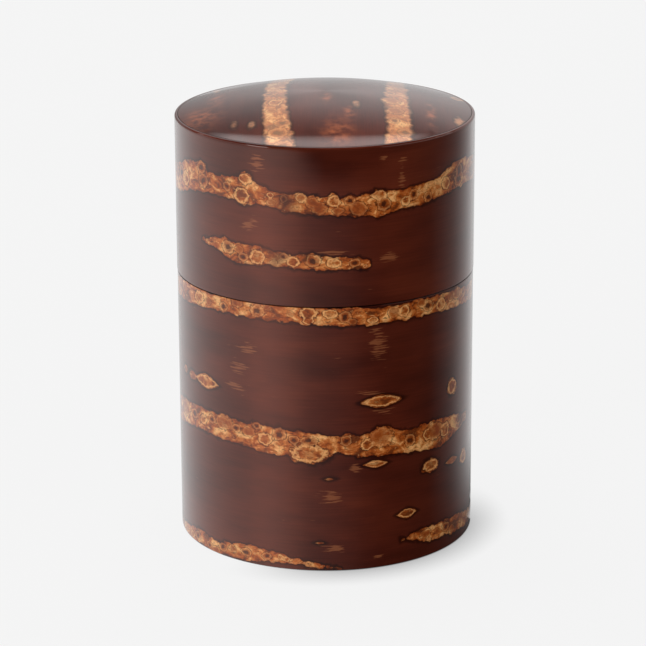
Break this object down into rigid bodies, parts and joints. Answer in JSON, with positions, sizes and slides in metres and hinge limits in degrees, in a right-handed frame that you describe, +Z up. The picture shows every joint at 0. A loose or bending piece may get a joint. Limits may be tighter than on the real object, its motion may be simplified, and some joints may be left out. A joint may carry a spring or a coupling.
{
  "type": "tea caddy",
  "caption": "Upright round tea caddy in polished cherry bark, with a tall slip-on lid with a low domed top, an inner collar and a drop-in inner lid with a turned knob.",
  "frame": {"origin": "middle of the plane that the foot ring stands on", "axes": "+Z up along the caddy's axis, -Y towards the viewer of the front, the bark's seams at +Y"},
  "size_m": [0.08, 0.08, 0.121],
  "materials": {
    "polished_bark": "polished",
    "lining_bark": "satin",
    "veneer": "plain sanded",
    "board_wood": "plain sanded",
    "knob_wood": "oiled"
  },
  "bodies": {
    "caddy_body": {"body_outer_bark": "polished_bark", "body_core": "veneer", "base_bark": "lining_bark", "base_board": "board_wood", "floor_bark": "lining_bark", "collar_sleeve": "veneer", "collar_bark": "lining_bark", "liner_core": "veneer", "liner_bark": "lining_bark"},
    "inner_lid": {"inner_lid_face_bark": "lining_bark", "inner_lid_board": "board_wood", "inner_lid_skirt": "veneer", "inner_lid_under_bark": "lining_bark", "inner_lid_edge_bark": "lining_bark", "inner_lid_knob": "knob_wood"},
    "lid": {"lid_outer_bark": "polished_bark", "lid_core": "veneer", "lid_lining_bark": "lining_bark", "lid_ceiling_bark": "lining_bark", "lid_top_board": "board_wood", "lid_top_bark": "polished_bark"}
  },
  "joints": [
    {"name": "inner_lid_lift", "type": "slide", "parent": "caddy_body", "child": "inner_lid", "axis": [0, 0, 1], "range_m": [0, 0.03]},
    {"name": "lid_lift", "type": "slide", "parent": "inner_lid", "child": "lid", "axis": [0, 0, 1], "range_m": [0, 0.06]}
  ]
}
